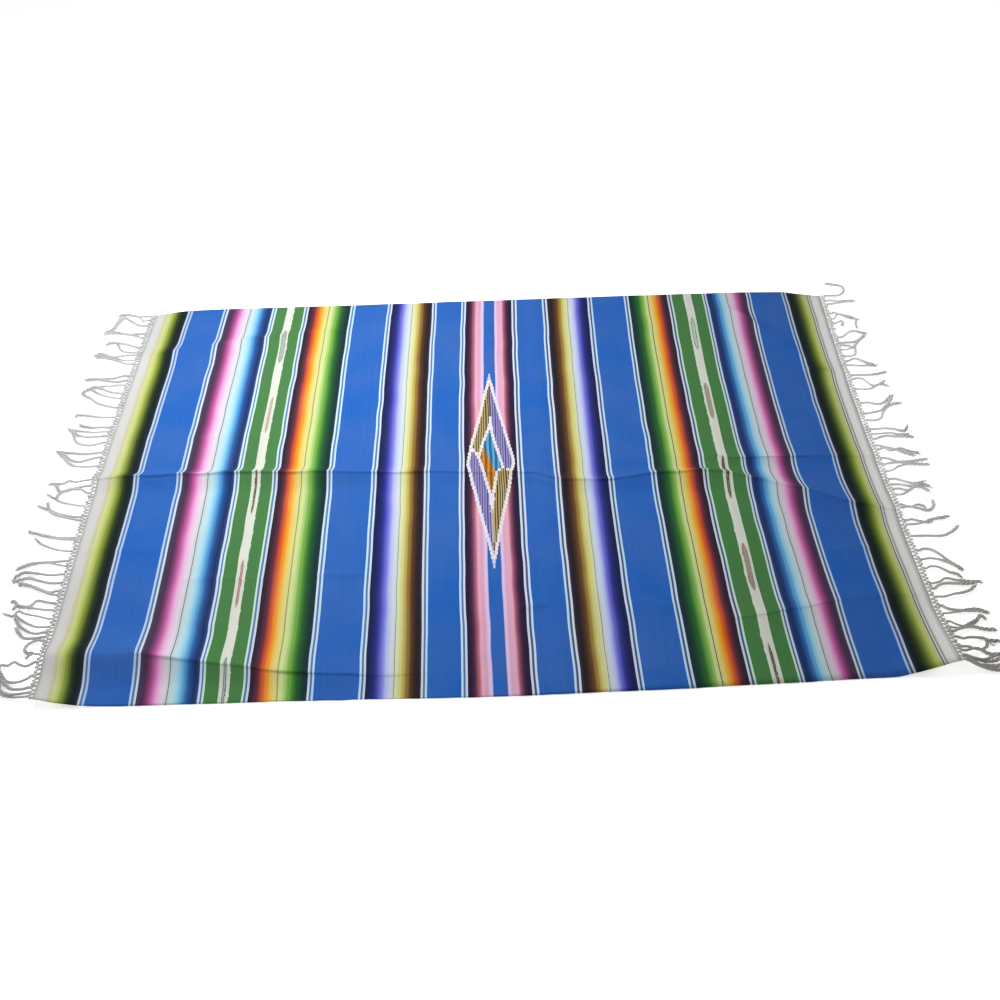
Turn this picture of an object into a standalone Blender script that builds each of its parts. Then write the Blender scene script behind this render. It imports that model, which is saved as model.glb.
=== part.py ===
# A woven serape laid out flat: one striped cloth, a knotted row along each end, and a fringe beyond it.
# X runs along the length, from fringe to fringe, Y across the width and Z up. All sizes are in metres.
# The underside of the cloth is the plane Z = 0, except where an old fold or a curled corner lifts it.

from collections import namedtuple

import bmesh
import bpy
import numpy as np

CLOTH_LEFT_END = -1.000
CLOTH_RIGHT_END = 0.992
CLOTH_HALF_WIDTH = 0.700
CLOTH_WALL = 0.0020

KNOT_ROW_WIDTH = 0.015
KNOT_ROW_WALL = 0.0040
FRINGE_WALL = 0.0030
SEAM_GAP = 0.0003

STATION_SPACING = 0.055
END_STATION_INSET = 0.028

# The stripes and the ends bow towards -X between the two selvedges, most of all at the ends.
MIDDLE_BOW = 0.007
ADDED_END_BOW = 0.010
NEAR_RIGHT_FLARE = 0.010

# The two selvedges: straight for most of the length, drawn in a little at the corners.
Selvedge = namedtuple("Selvedge", "along far_side near_side")
SELVEDGES = [
    Selvedge(-1.000, 0.678, -0.684),
    Selvedge(-0.930, 0.696, -0.694),
    Selvedge(-0.800, 0.700, -0.697),
    Selvedge(-0.400, 0.698, -0.699),
    Selvedge(0.000, 0.699, -0.705),
    Selvedge(0.400, 0.700, -0.700),
    Selvedge(0.700, 0.700, -0.693),
    Selvedge(0.880, 0.694, -0.689),
    Selvedge(0.992, 0.666, -0.682),
]

# Old folds that still stand up as ridges. Each crest is a run of points, and each side has its own width.
Crest = namedtuple("Crest", "along across height")
Fold = namedtuple("Fold", "near_width far_width crests")

NEAR_FOLD = Fold(0.042, 0.110, [
    Crest(-1.00, -0.560, 0.009),
    Crest(-0.91, -0.578, 0.019),
    Crest(-0.66, -0.600, 0.018),
    Crest(-0.50, -0.625, 0.014),
    Crest(-0.28, -0.640, 0.006),
    Crest(-0.10, -0.640, 0.000),
    Crest(0.45, -0.540, 0.000),
    Crest(0.60, -0.525, 0.007),
    Crest(0.78, -0.490, 0.009),
    Crest(1.00, -0.475, 0.003),
])

MIDDLE_FOLD = Fold(0.050, 0.032, [
    Crest(-1.00, -0.018, 0.009),
    Crest(-0.92, -0.016, 0.018),
    Crest(-0.60, -0.020, 0.021),
    Crest(-0.31, -0.030, 0.017),
    Crest(-0.05, -0.034, 0.009),
    Crest(0.08, -0.062, 0.012),
    Crest(0.16, -0.080, 0.016),
    Crest(0.30, -0.082, 0.018),
    Crest(0.42, -0.065, 0.020),
    Crest(0.58, -0.067, 0.024),
    Crest(0.70, -0.112, 0.022),
    Crest(0.79, -0.150, 0.027),
    Crest(0.88, -0.190, 0.026),
    Crest(1.00, -0.215, 0.007),
])

BRANCH_FOLD = Fold(0.026, 0.036, [
    Crest(-1.00, 0.060, 0.000),
    Crest(0.45, 0.060, 0.000),
    Crest(0.58, -0.004, 0.004),
    Crest(0.64, -0.018, 0.017),
    Crest(0.78, -0.016, 0.012),
    Crest(1.00, -0.020, 0.004),
])

FAR_FOLD = Fold(0.075, 0.034, [
    Crest(-1.00, 0.470, 0.009),
    Crest(-0.91, 0.493, 0.020),
    Crest(-0.66, 0.540, 0.020),
    Crest(-0.55, 0.560, 0.012),
    Crest(-0.30, 0.580, 0.000),
    Crest(0.60, 0.610, 0.000),
    Crest(0.73, 0.602, 0.011),
    Crest(0.79, 0.565, 0.017),
    Crest(0.86, 0.490, 0.012),
    Crest(1.00, 0.430, 0.004),
])

FOLDS = [NEAR_FOLD, MIDDLE_FOLD, BRANCH_FOLD, FAR_FOLD]
FLANK_STEPS = [1.0, 0.55, 0.24, 0.07]
CREST_SHARPNESS = 1.6

# Corners on the near side that curl up off the ground.
Curl = namedtuple("Curl", "end_x reach_along reach_across height")
CURLS = [
    Curl(CLOTH_LEFT_END, 0.13, 0.17, 0.022),
    Curl(CLOTH_RIGHT_END, 0.14, 0.19, 0.030),
]

# How far the fringe lies beyond the knotted row, and how far its tips drift sideways.
Reach = namedtuple("Reach", "across length drift")
LEFT_REACH = [
    Reach(-0.684, 0.066, -0.002),
    Reach(-0.600, 0.088, 0.010),
    Reach(-0.530, 0.072, 0.016),
    Reach(-0.440, 0.108, 0.016),
    Reach(-0.200, 0.118, 0.010),
    Reach(0.000, 0.106, 0.004),
    Reach(0.330, 0.116, 0.000),
    Reach(0.500, 0.106, 0.004),
    Reach(0.678, 0.104, 0.010),
]
RIGHT_REACH = [
    Reach(-0.682, 0.078, -0.012),
    Reach(-0.560, 0.096, -0.004),
    Reach(-0.440, 0.104, 0.002),
    Reach(-0.270, 0.118, 0.006),
    Reach(-0.050, 0.108, 0.004),
    Reach(0.180, 0.096, 0.008),
    Reach(0.330, 0.082, 0.012),
    Reach(0.500, 0.094, 0.016),
    Reach(0.666, 0.078, 0.042),
]

# Colour, roughness and metallic value of each material.
MATERIALS = {
    "striped_cloth": ((0.06, 0.17, 0.55, 1.0), 0.85, 0.0),
    "knotted_warp": ((0.62, 0.62, 0.60, 1.0), 0.90, 0.0),
    "fringe_yarn": ((0.66, 0.66, 0.64, 1.0), 0.90, 0.0),
}


def clear_scene():
    for item in list(bpy.data.objects):
        bpy.data.objects.remove(item, do_unlink=True)


def make_material(name):
    colour, roughness, metallic = MATERIALS[name]
    material = bpy.data.materials.new(name)
    material.use_nodes = True
    shader = material.node_tree.nodes["Principled BSDF"]
    shader.inputs["Base Color"].default_value = colour
    shader.inputs["Roughness"].default_value = roughness
    shader.inputs["Metallic"].default_value = metallic
    return material


def column_at(rows, place_column, value_column, place):
    places = [getattr(row, place_column) for row in rows]
    values = [getattr(row, value_column) for row in rows]
    return float(np.interp(place, places, values))


def fold_crest(fold, along):
    across = column_at(fold.crests, "along", "across", along)
    height = column_at(fold.crests, "along", "height", along)
    return across, height


def fold_rise(fold, along, across):
    crest, height = fold_crest(fold, along)
    offset = across - crest
    width = fold.far_width if offset > 0.0 else fold.near_width
    run = min(abs(offset) / width, 1.0)
    return height * (1.0 - run) ** CREST_SHARPNESS


def curl_rise(curl, along, across):
    from_end = abs(along - curl.end_x) / curl.reach_along
    from_edge = (across + CLOTH_HALF_WIDTH) / curl.reach_across
    towards_end = max(1.0 - from_end, 0.0)
    towards_edge = max(1.0 - from_edge, 0.0)
    return curl.height * (towards_end * towards_edge) ** 1.2


def cloth_rise(along, across):
    folds = sum(fold_rise(fold, along, across) for fold in FOLDS)
    curls = sum(curl_rise(curl, along, across) for curl in CURLS)
    return folds + curls


def plan_x(along, across):
    """Where a point of the cloth lies along X, with the bow of the stripes."""
    side = across / CLOTH_HALF_WIDTH
    bow = (MIDDLE_BOW + ADDED_END_BOW * along ** 2) * (1.0 - side ** 2)
    flare = NEAR_RIGHT_FLARE * max(along, 0.0) * max(-side, 0.0) ** 2
    return along - bow + flare


def evenly_between(low, high, count):
    return list(np.linspace(low, high, count + 2)[1:-1])


def rows_across(along):
    """The places of the mesh rows at one station: close together on each fold, and few between folds."""
    near_edge = column_at(SELVEDGES, "along", "near_side", along)
    far_edge = column_at(SELVEDGES, "along", "far_side", along)
    rows = [near_edge]
    flat_rows = [3, 1, 0, 2]
    for fold, between in zip(FOLDS, flat_rows):
        crest, _ = fold_crest(fold, along)
        near_flank = [crest - step * fold.near_width for step in FLANK_STEPS]
        far_flank = [crest + step * fold.far_width for step in reversed(FLANK_STEPS)]
        rows += evenly_between(rows[-1], near_flank[0], between)
        rows += near_flank + [crest] + far_flank
    rows += evenly_between(rows[-1], far_edge, 1)
    rows.append(far_edge)
    return rows


def stations_along():
    count = int(round((CLOTH_RIGHT_END - CLOTH_LEFT_END) / STATION_SPACING))
    stations = list(np.linspace(CLOTH_LEFT_END, CLOTH_RIGHT_END, count + 1))
    inset = [CLOTH_LEFT_END + END_STATION_INSET, CLOTH_RIGHT_END - END_STATION_INSET]
    return sorted(stations + inset)


def cloth_grid():
    grid = []
    for along in stations_along():
        column = []
        for across in rows_across(along):
            column.append((plan_x(along, across), across, cloth_rise(along, across)))
        grid.append(column)
    return np.array(grid)


def beyond_edge(edge, direction, distance, drift=0.0):
    """A copy of a run of points moved out along X, and sideways in proportion to the drift."""
    moved = edge.copy()
    moved[:, 0] += direction * distance
    moved[:, 1] += drift
    return moved


def knot_row_grid(cloth_edge, direction):
    inner = beyond_edge(cloth_edge, direction, SEAM_GAP)
    outer = beyond_edge(cloth_edge, direction, SEAM_GAP + KNOT_ROW_WIDTH)
    return np.array([inner, outer])


def fringe_grid(cloth_edge, direction, reach):
    """Three runs of points: at the knots, halfway, and at the tips, which lie on the ground."""
    start = 2.0 * SEAM_GAP + KNOT_ROW_WIDTH
    inner = beyond_edge(cloth_edge, direction, start)
    lengths = np.array([column_at(reach, "across", "length", y) for y in cloth_edge[:, 1]])
    drifts = np.array([column_at(reach, "across", "drift", y) for y in cloth_edge[:, 1]])
    middle = beyond_edge(cloth_edge, direction, start + lengths * 0.5, drifts * 0.4)
    middle[:, 2] *= 0.4
    tips = beyond_edge(cloth_edge, direction, start + lengths, drifts)
    tips[:, 2] = 0.0
    return np.array([inner, middle, tips])


def wall_from_grid(name, grid, wall, material):
    """A closed wall that stands on a grid of points, with straight upright sides."""
    mesh_data = bmesh.new()
    rows = [[mesh_data.verts.new(point) for point in run] for run in grid]
    for run, next_run in zip(rows, rows[1:]):
        for index in range(len(run) - 1):
            mesh_data.faces.new((run[index], next_run[index], next_run[index + 1], run[index + 1]))
    raised = bmesh.ops.extrude_face_region(mesh_data, geom=mesh_data.faces[:])
    raised_verts = [item for item in raised["geom"] if isinstance(item, bmesh.types.BMVert)]
    bmesh.ops.translate(mesh_data, verts=raised_verts, vec=(0.0, 0.0, wall))
    bmesh.ops.recalc_face_normals(mesh_data, faces=mesh_data.faces[:])
    mesh = bpy.data.meshes.new(name)
    mesh_data.to_mesh(mesh)
    mesh_data.free()
    mesh.materials.append(material)
    solid = bpy.data.objects.new(name, mesh)
    bpy.context.collection.objects.link(solid)
    return solid


def centre_over_origin(solids):
    """Put the middle of the whole outline over the origin."""
    points = np.array([vertex.co for solid in solids for vertex in solid.data.vertices])
    middle = (points.min(axis=0) + points.max(axis=0)) / 2.0
    for solid in solids:
        for vertex in solid.data.vertices:
            vertex.co.x -= middle[0]
            vertex.co.y -= middle[1]
        solid.data.update()


def build_serape():
    cloth = cloth_grid()
    left_edge = cloth[0]
    right_edge = cloth[-1]
    cloth_material = make_material("striped_cloth")
    knot_material = make_material("knotted_warp")
    fringe_material = make_material("fringe_yarn")
    solids = [
        wall_from_grid("cloth", cloth, CLOTH_WALL, cloth_material),
        wall_from_grid("knot_row_left", knot_row_grid(left_edge, -1), KNOT_ROW_WALL, knot_material),
        wall_from_grid("knot_row_right", knot_row_grid(right_edge, 1), KNOT_ROW_WALL, knot_material),
        wall_from_grid("fringe_left", fringe_grid(left_edge, -1, LEFT_REACH), FRINGE_WALL, fringe_material),
        wall_from_grid("fringe_right", fringe_grid(right_edge, 1, RIGHT_REACH), FRINGE_WALL, fringe_material),
    ]
    centre_over_origin(solids)


clear_scene()
build_serape()
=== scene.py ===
# Striped serape laid out flat: one woven cloth, a knotted row along each end and a twisted fringe beyond it.
# X runs from fringe to fringe, Y from the near selvedge to the far one, Z up. Metres, unless a name says Mm.
import math

import bpy
import numpy as np
from mathutils import Matrix, Vector


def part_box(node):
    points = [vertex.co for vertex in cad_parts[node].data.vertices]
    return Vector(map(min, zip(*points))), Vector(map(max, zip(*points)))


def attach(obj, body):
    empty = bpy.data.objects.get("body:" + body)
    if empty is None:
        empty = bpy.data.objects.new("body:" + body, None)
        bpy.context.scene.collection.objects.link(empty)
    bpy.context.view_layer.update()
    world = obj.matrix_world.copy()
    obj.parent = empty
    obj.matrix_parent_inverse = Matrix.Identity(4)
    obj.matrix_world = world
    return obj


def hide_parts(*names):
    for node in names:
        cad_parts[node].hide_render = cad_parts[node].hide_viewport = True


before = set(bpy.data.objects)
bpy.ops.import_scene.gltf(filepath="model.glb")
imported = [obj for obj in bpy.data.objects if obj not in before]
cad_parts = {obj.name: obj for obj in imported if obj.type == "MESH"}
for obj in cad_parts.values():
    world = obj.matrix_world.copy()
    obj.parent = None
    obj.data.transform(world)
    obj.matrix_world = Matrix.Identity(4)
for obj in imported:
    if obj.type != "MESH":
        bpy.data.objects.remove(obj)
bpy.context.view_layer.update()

mm = 0.001


# small helpers: smooth curves and slow random waves

def easedAlong(place, places, values, reach=0.03):
    # a listed line of values with its corners rounded off
    window = np.linspace(-reach, reach, 9)
    spots = np.asarray(place)[..., None] + window
    return np.interp(spots, places, values).mean(axis=-1)


def slowWaves(x, y, cell, seed):
    # smooth random heights from -1 to 1, one hill or hollow to a cell
    lattice = np.random.default_rng(seed).uniform(-1, 1, (128, 128))
    gx, gy = np.asarray(x) / cell + 64.3, np.asarray(y) / cell + 64.7
    ix, iy = np.floor(gx).astype(int), np.floor(gy).astype(int)
    fx, fy = gx - ix, gy - iy
    fx, fy = fx * fx * (3 - 2 * fx), fy * fy * (3 - 2 * fy)
    a, b = lattice[ix % 128, iy % 128], lattice[(ix + 1) % 128, iy % 128]
    c, d = lattice[ix % 128, (iy + 1) % 128], lattice[(ix + 1) % 128, (iy + 1) % 128]
    return (a * (1 - fx) + b * fx) * (1 - fy) + (c * (1 - fx) + d * fx) * fy


# the cloth's form: selvedges, old folds, faint creases and curled corners

clothShape = {
    "leftEnd": -1.000,
    "rightEnd": 0.992,
    "halfWidth": 0.700,
    "cutWidth": 1.41,  # selvedge to selvedge, as it left the loom
    "cutLength": 2.00,  # end to end, without the fringe
    "thickness": 0.0014,
    "clearance": 0.0002,  # under the cloth where it lies flat
    "stations": 188,
    "middleBow": 0.007,  # the stripes bow towards the left between the selvedges
    "addedEndBow": 0.010,
    "solidFlare": 0.010,  # how far the solid's near right corner stands out
    "nearRightFlare": -0.004,  # the cloth's own corner is pulled in as it curls
    "lineWander": 0.0013, "wanderCell": 0.060,  # how far a woven line strays from straight
    "groundEase": 0.0006,  # how softly a trough flattens out on the ground
    "bakeMargin": 4 / 1024,
}

selvedges = {
    "reach": 0.02,  # how far their corners are rounded off
    "ripple": 0.0008, "rippleCell": 0.028,
    "along": [-1.000, -0.930, -0.800, -0.400, 0.000, 0.400, 0.700, 0.880, 0.992],
    "farSide": [0.678, 0.696, 0.700, 0.698, 0.699, 0.700, 0.700, 0.694, 0.666],
    "nearSide": [-0.684, -0.694, -0.697, -0.699, -0.705, -0.700, -0.693, -0.688, -0.671],
}

foldHabit = {
    "lineCell": 0.060,
    "swellCell": 0.075, "swell": 0.16,  # how the crest's height comes and goes
    "lipCell": 0.045, "lipUneven": 0.6, "lipShare": 0.3, "lipWidth": 0.0042,
    "flankPower": 1.7,
}

# each fold by its places along the cloth: lip is the small drop at its old crease
oldFolds = [
    {  # near the front selvedge
        "wander": 0.0025, "seed": 3,
        "along": [-1.00, -0.93, -0.86, -0.805, -0.77, -0.66, -0.59, -0.50, -0.28, -0.10,
                  0.45, 0.60, 0.78, 1.00],
        "across": [-0.562, -0.572, -0.578, -0.579, -0.583, -0.598, -0.608, -0.626, -0.642, -0.640,
                   -0.530, -0.514, -0.480, -0.470],
        "height": [0.013, 0.023, 0.026, 0.025, 0.023, 0.020, 0.017, 0.014, 0.006, 0.000,
                   0.000, 0.006, 0.006, 0.002],
        "lip": [0.0000, 0.0000, 0.0004, 0.0012, 0.0040, 0.0042, 0.0042, 0.0038, 0.0034, 0.0034,
                0.0034, 0.0034, 0.0034, 0.0034],
        "round": [0.016, 0.018, 0.018, 0.010, 0.004, 0.0035, 0.0035, 0.0035, 0.0035, 0.0035,
                  0.0035, 0.005, 0.005, 0.005],
        "nearWidth": [0.062, 0.068, 0.070, 0.068, 0.062, 0.056, 0.050, 0.046, 0.044, 0.042,
                      0.042, 0.040, 0.038, 0.036],
        "farWidth": [0.090, 0.100, 0.105, 0.110, 0.110, 0.110, 0.115, 0.115, 0.110, 0.110,
                     0.090, 0.090, 0.100, 0.110],
    },
    {  # along the middle
        "wander": 0.0026, "seed": 5,
        "along": [-1.00, -0.92, -0.60, -0.31, -0.05, 0.08, 0.135, 0.155, 0.30, 0.42, 0.58,
                  0.70, 0.79, 0.88, 1.00],
        "across": [-0.018, -0.016, -0.020, -0.030, -0.034, -0.044, -0.052, -0.078, -0.082, -0.065, -0.067,
                   -0.112, -0.150, -0.190, -0.215],
        "height": [0.009, 0.018, 0.021, 0.017, 0.009, 0.011, 0.014, 0.016, 0.017, 0.019, 0.022,
                   0.020, 0.023, 0.022, 0.008],
        "lip": [0.0020, 0.0040, 0.0044, 0.0044, 0.0044, 0.0048, 0.0050, 0.0042, 0.0042, 0.0042, 0.0040,
                0.0038, 0.0036, 0.0036, 0.0026],
        "round": [0.0035] * 15,
        "nearWidth": [0.046, 0.050, 0.052, 0.050, 0.046, 0.044, 0.044, 0.046, 0.050, 0.052, 0.052,
                      0.056, 0.060, 0.060, 0.055],
        "farWidth": [0.034, 0.036, 0.038, 0.036, 0.040, 0.040, 0.040, 0.040, 0.038, 0.034, 0.032,
                     0.054, 0.086, 0.110, 0.120],
    },
    {  # leaves the middle fold on the right
        "wander": 0.0015, "seed": 7,
        "along": [-1.00, 0.45, 0.58, 0.64, 0.78, 1.00],
        "across": [0.060, 0.060, -0.004, -0.018, -0.016, -0.020],
        "height": [0.000, 0.000, 0.004, 0.013, 0.009, 0.004],
        "lip": [0.0030, 0.0030, 0.0030, 0.0030, 0.0026, 0.0012],
        "round": [0.0035] * 6,
        "nearWidth": [0.026, 0.026, 0.024, 0.024, 0.028, 0.030],
        "farWidth": [0.036, 0.036, 0.040, 0.060, 0.080, 0.080],
    },
    {  # near the back selvedge
        "wander": 0.0025, "seed": 9,
        "along": [-1.00, -0.91, -0.66, -0.55, -0.30, 0.60, 0.72, 0.762, 0.797, 0.829, 0.865,
                  0.905, 0.95, 1.00],
        "across": [0.470, 0.493, 0.540, 0.560, 0.580, 0.620, 0.612, 0.570, 0.494, 0.465, 0.428,
                   0.338, 0.312, 0.308],
        "height": [0.003, 0.010, 0.012, 0.008, 0.000, 0.000, 0.006, 0.009, 0.006, 0.005, 0.005,
                   0.006, 0.007, 0.003],
        "lip": [0.0000, 0.0010, 0.0018, 0.0016, 0.0012, 0.0010, 0.0010, 0.0010, 0.0003, 0.0006, 0.0006,
                0.0020, 0.0026, 0.0008],
        "round": [0.012, 0.008, 0.005, 0.005, 0.005, 0.005, 0.005, 0.006, 0.016, 0.012, 0.012,
                  0.006, 0.0035, 0.006],
        "nearWidth": [0.070, 0.075, 0.078, 0.075, 0.070, 0.070, 0.074, 0.085, 0.090, 0.085, 0.075,
                      0.060, 0.056, 0.056],
        "farWidth": [0.036, 0.042, 0.046, 0.042, 0.036, 0.034, 0.034, 0.042, 0.056, 0.060, 0.060,
                     0.060, 0.060, 0.060],
    },
]

faintCreases = [
    # start, end, height (a trough is below nought), half width
    ((0.02, 0.004), (0.60, 0.000), 0.0045, 0.014),
    ((-0.43, -0.352), (-0.28, -0.357), 0.0042, 0.010),
    ((-0.74, -0.350), (-0.52, -0.358), 0.0026, 0.012),
    ((-0.70, -0.482), (-0.62, -0.492), 0.0050, 0.018),
    ((0.05, -0.466), (0.12, -0.460), 0.0055, 0.012),
    ((0.29, -0.474), (0.41, -0.480), 0.0055, 0.018),
    ((0.888, 0.329), (0.950, 0.321), 0.0070, 0.007),
    ((-0.95, 0.130), (-0.55, 0.142), 0.0022, 0.018),
    ((-0.20, 0.300), (0.24, 0.288), 0.0018, 0.026),
    ((-0.98, -0.250), (-0.80, -0.262), 0.0030, 0.018),
    ((-0.985, -0.490), (-0.925, -0.540), -0.0040, 0.011),
    ((-0.862, -0.549), (-0.796, -0.566), 0.0036, 0.008),
    ((0.092, -0.054), (0.150, -0.084), 0.0034, 0.007),
    ((0.592, -0.048), (0.634, -0.026), -0.0044, 0.006),
    ((-0.880, -0.040), (-0.840, -0.052), -0.0030, 0.008),
    ((-0.36, 0.640), (-0.27, 0.632), 0.0030, 0.010),
    ((0.30, -0.640), (0.42, -0.652), 0.0022, 0.012),
    ((0.80, -0.330), (0.92, -0.318), 0.0030, 0.014),
]

curledCorners = [
    {"end": "leftEnd", "reachAlong": 0.13, "reachAcross": 0.17, "height": 0.022},
    {"end": "rightEnd", "reachAlong": 0.14, "reachAcross": 0.19, "height": 0.036},
]

clothRipples = [(0.120, 0.0010, 11), (0.055, 0.0006, 12), (0.026, 0.0002, 13)]  # cell, height, seed

flankSteps = [1.0, 0.84, 0.69, 0.55, 0.42, 0.31, 0.22, 0.145, 0.085, 0.035]  # shares of a fold's width
flatRows = [7, 60, 3, 48, 26]  # rows before, between and after the folds


def foldCrest(fold, along):
    across = easedAlong(along, fold["along"], fold["across"])
    across = across + fold["wander"] * slowWaves(along, 0.0, foldHabit["lineCell"], fold["seed"])
    height = easedAlong(along, fold["along"], fold["height"])
    swell = slowWaves(along, 0.0, foldHabit["swellCell"], fold["seed"] + 50)
    return across, height * (1 + foldHabit["swell"] * swell)


def foldRise(fold, along, across):
    crest, height = foldCrest(fold, along)
    offset = across - crest
    near, far, rounding, lip = (easedAlong(along, fold["along"], fold[name])
                                for name in ("nearWidth", "farWidth", "round", "lip"))
    run = (np.sqrt(offset ** 2 + rounding ** 2) - rounding) / np.where(offset > 0, far, near)
    left = np.maximum(1 - run, 0)
    # the old crease: in front of its crest the cloth drops a little all at once
    uneven = slowWaves(along, 0.0, foldHabit["lipCell"], fold["seed"] + 20)
    lip = np.minimum(lip, height * foldHabit["lipShare"]) * (1 + foldHabit["lipUneven"] * uneven)
    drop = np.clip(-offset / foldHabit["lipWidth"], 0, 1)
    return height * left ** foldHabit["flankPower"] - lip * drop * drop * (3 - 2 * drop) * left ** 2


def creaseRise(crease, along, across):
    start, end, height, halfWidth = crease
    runX, runY = end[0] - start[0], end[1] - start[1]
    share = ((along - start[0]) * runX + (across - start[1]) * runY) / (runX * runX + runY * runY)
    nearest = np.clip(share, 0, 1)
    offX, offY = along - start[0] - nearest * runX, across - start[1] - nearest * runY
    away = np.hypot(offX, offY) / halfWidth
    fade = np.sin(np.pi * np.clip(share * 0.9 + 0.05, 0, 1)) ** 0.5  # it dies away at both ends
    return height * fade * np.exp(-1.6 * away ** 1.4)


def cornerRise(corner, along, across):
    fromEnd = np.abs(along - clothShape[corner["end"]]) / corner["reachAlong"]
    fromEdge = (across + clothShape["halfWidth"]) / corner["reachAcross"]
    return corner["height"] * (np.maximum(1 - fromEnd, 0) * np.maximum(1 - fromEdge, 0)) ** 1.2


def clothRise(along, across):
    rise = sum(foldRise(fold, along, across) for fold in oldFolds)
    rise = rise + sum(creaseRise(crease, along, across) for crease in faintCreases)
    rise = rise + sum(cornerRise(corner, along, across) for corner in curledCorners)
    for cell, height, seed in clothRipples:
        rise = rise + height * (1 + slowWaves(along, across, cell, seed)) / 2
    # nothing goes under the ground: a trough that would, flattens out
    rise = (rise + np.sqrt(rise ** 2 + clothShape["groundEase"] ** 2)) / 2
    return rise + clothShape["clearance"]


def planX(along, across, flare=clothShape["nearRightFlare"]):
    side = across / clothShape["halfWidth"]
    bow = (clothShape["middleBow"] + clothShape["addedEndBow"] * along ** 2) * (1 - side ** 2)
    return along - bow + flare * np.maximum(along, 0) * np.maximum(-side, 0) ** 2


def rowsAcross(along):
    # rows stand close together on each fold, and follow it
    nearEdge, farEdge = (
        easedAlong(along, selvedges["along"], selvedges[side], selvedges["reach"])
        + selvedges["ripple"] * slowWaves(along, 0.0, selvedges["rippleCell"], seed)
        for side, seed in (("nearSide", 21), ("farSide", 22)))
    rows = [float(nearEdge)]
    for fold, between in zip(oldFolds, flatRows):
        crest = float(foldCrest(fold, along)[0])
        near, far = (float(easedAlong(along, fold["along"], fold[name]))
                     for name in ("nearWidth", "farWidth"))
        nearFlank = [crest - step * near for step in flankSteps]
        farFlank = [crest + step * far for step in reversed(flankSteps)]
        rows += list(np.linspace(rows[-1], nearFlank[0], between + 2)[1:-1])
        rows += nearFlank + [crest] + farFlank
    rows += list(np.linspace(rows[-1], float(farEdge), flatRows[-1] + 2)[1:])
    return np.array(rows)


stations = np.linspace(clothShape["leftEnd"], clothShape["rightEnd"], clothShape["stations"])
gridAlong = np.repeat(stations[:, None], len(rowsAcross(0.0)), axis=1)
gridAcross = np.array([rowsAcross(along) for along in stations])
gridRise = clothRise(gridAlong, gridAcross)
wander = clothShape["lineWander"] * slowWaves(gridAlong, gridAcross, clothShape["wanderCell"], 31)
wander[[0, -1]] = 0  # the ends stay in line with the knots
gridX = planX(gridAlong, gridAcross) + wander

# the cloth lies where its solid lies, so all that is placed here moves by the same step
solidLow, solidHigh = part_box("cloth")
solidX = planX(gridAlong, gridAcross, clothShape["solidFlare"])
ownMiddle = Vector(((solidX.min() + solidX.max()) / 2, (gridAcross.min() + gridAcross.max()) / 2, 0))
toFrame = (solidLow + solidHigh) / 2 - ownMiddle
toFrame.z = 0
print("cloth grid", gridX.shape, "rows at least", round(float(np.diff(gridAcross, axis=1).min()) * 1000, 2),
      "mm apart, moved by", [round(v, 4) for v in toFrame])


# the camera, before anything is made

viewpoint = {
    "lookAt": (0.0116, -0.127, 0.0),
    "distance": 2.7206,
    "downTilt": 46.673,
    "turn": 0.105,
    "roll": -1.834,
    "lens": 39.2,
}


def placeCamera():
    tilt, turn, roll = (math.radians(viewpoint[name]) for name in ("downTilt", "turn", "roll"))
    ahead = Vector((math.sin(turn) * math.cos(tilt), math.cos(turn) * math.cos(tilt), -math.sin(tilt)))
    right = Vector((math.cos(turn), -math.sin(turn), 0))
    up = right.cross(ahead)
    rolledRight = right * math.cos(roll) + up * math.sin(roll)
    rolledUp = up * math.cos(roll) - right * math.sin(roll)
    camera = bpy.data.objects.new("camera", bpy.data.cameras.new("camera"))
    camera.data.lens = viewpoint["lens"]
    camera.data.sensor_width = 36
    turnedTo = Matrix((rolledRight, rolledUp, -ahead)).transposed().to_4x4()
    place = Vector(viewpoint["lookAt"]) - ahead * viewpoint["distance"] + toFrame
    camera.matrix_world = Matrix.Translation(place) @ turnedTo
    bpy.context.scene.collection.objects.link(camera)
    bpy.context.scene.camera = camera
    print("camera at", [round(v, 3) for v in place])


placeCamera()


# node helpers: a reading is a number that flows through a material

class Reading:
    def __init__(self, tree, socket):
        self.tree, self.socket = tree, socket

    def worked(self, operation, *others):
        node = self.tree.nodes.new("ShaderNodeMath")
        node.operation = operation
        for socket, value in zip(node.inputs, (self,) + others):
            join(self.tree, value, socket)
        return Reading(self.tree, node.outputs[0])

    def __add__(self, other):
        return self.worked("ADD", other)

    def __sub__(self, other):
        return self.worked("SUBTRACT", other)

    def __mul__(self, other):
        return self.worked("MULTIPLY", other)

    def __truediv__(self, other):
        return self.worked("DIVIDE", other)

    def over(self, other):
        return self.worked("GREATER_THAN", other)

    def under(self, other):
        return self.worked("LESS_THAN", other)

    def between(self, low, high):
        return self.over(low) * self.under(high)

    def size(self):
        return self.worked("ABSOLUTE")

    def most(self, other):
        return self.worked("MAXIMUM", other)

    def least(self, other):
        return self.worked("MINIMUM", other)

    def floor(self):
        return self.worked("FLOOR")

    def fract(self):
        return self.worked("FRACT")

    def inverse(self):
        return self * -1.0 + 1.0


def join(tree, value, socket):
    if isinstance(value, Reading):
        value = value.socket
    if isinstance(value, bpy.types.NodeSocket):
        tree.links.new(value, socket)
    else:
        socket.default_value = value


def dye(red, green, blue):
    # a yarn's colour as the eye names it, 0 to 255, turned to linear light
    def linear(value):
        value = value / 255
        return value / 12.92 if value <= 0.04045 else ((value + 0.055) / 1.055) ** 2.4
    return (linear(red), linear(green), linear(blue), 1.0)


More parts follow.
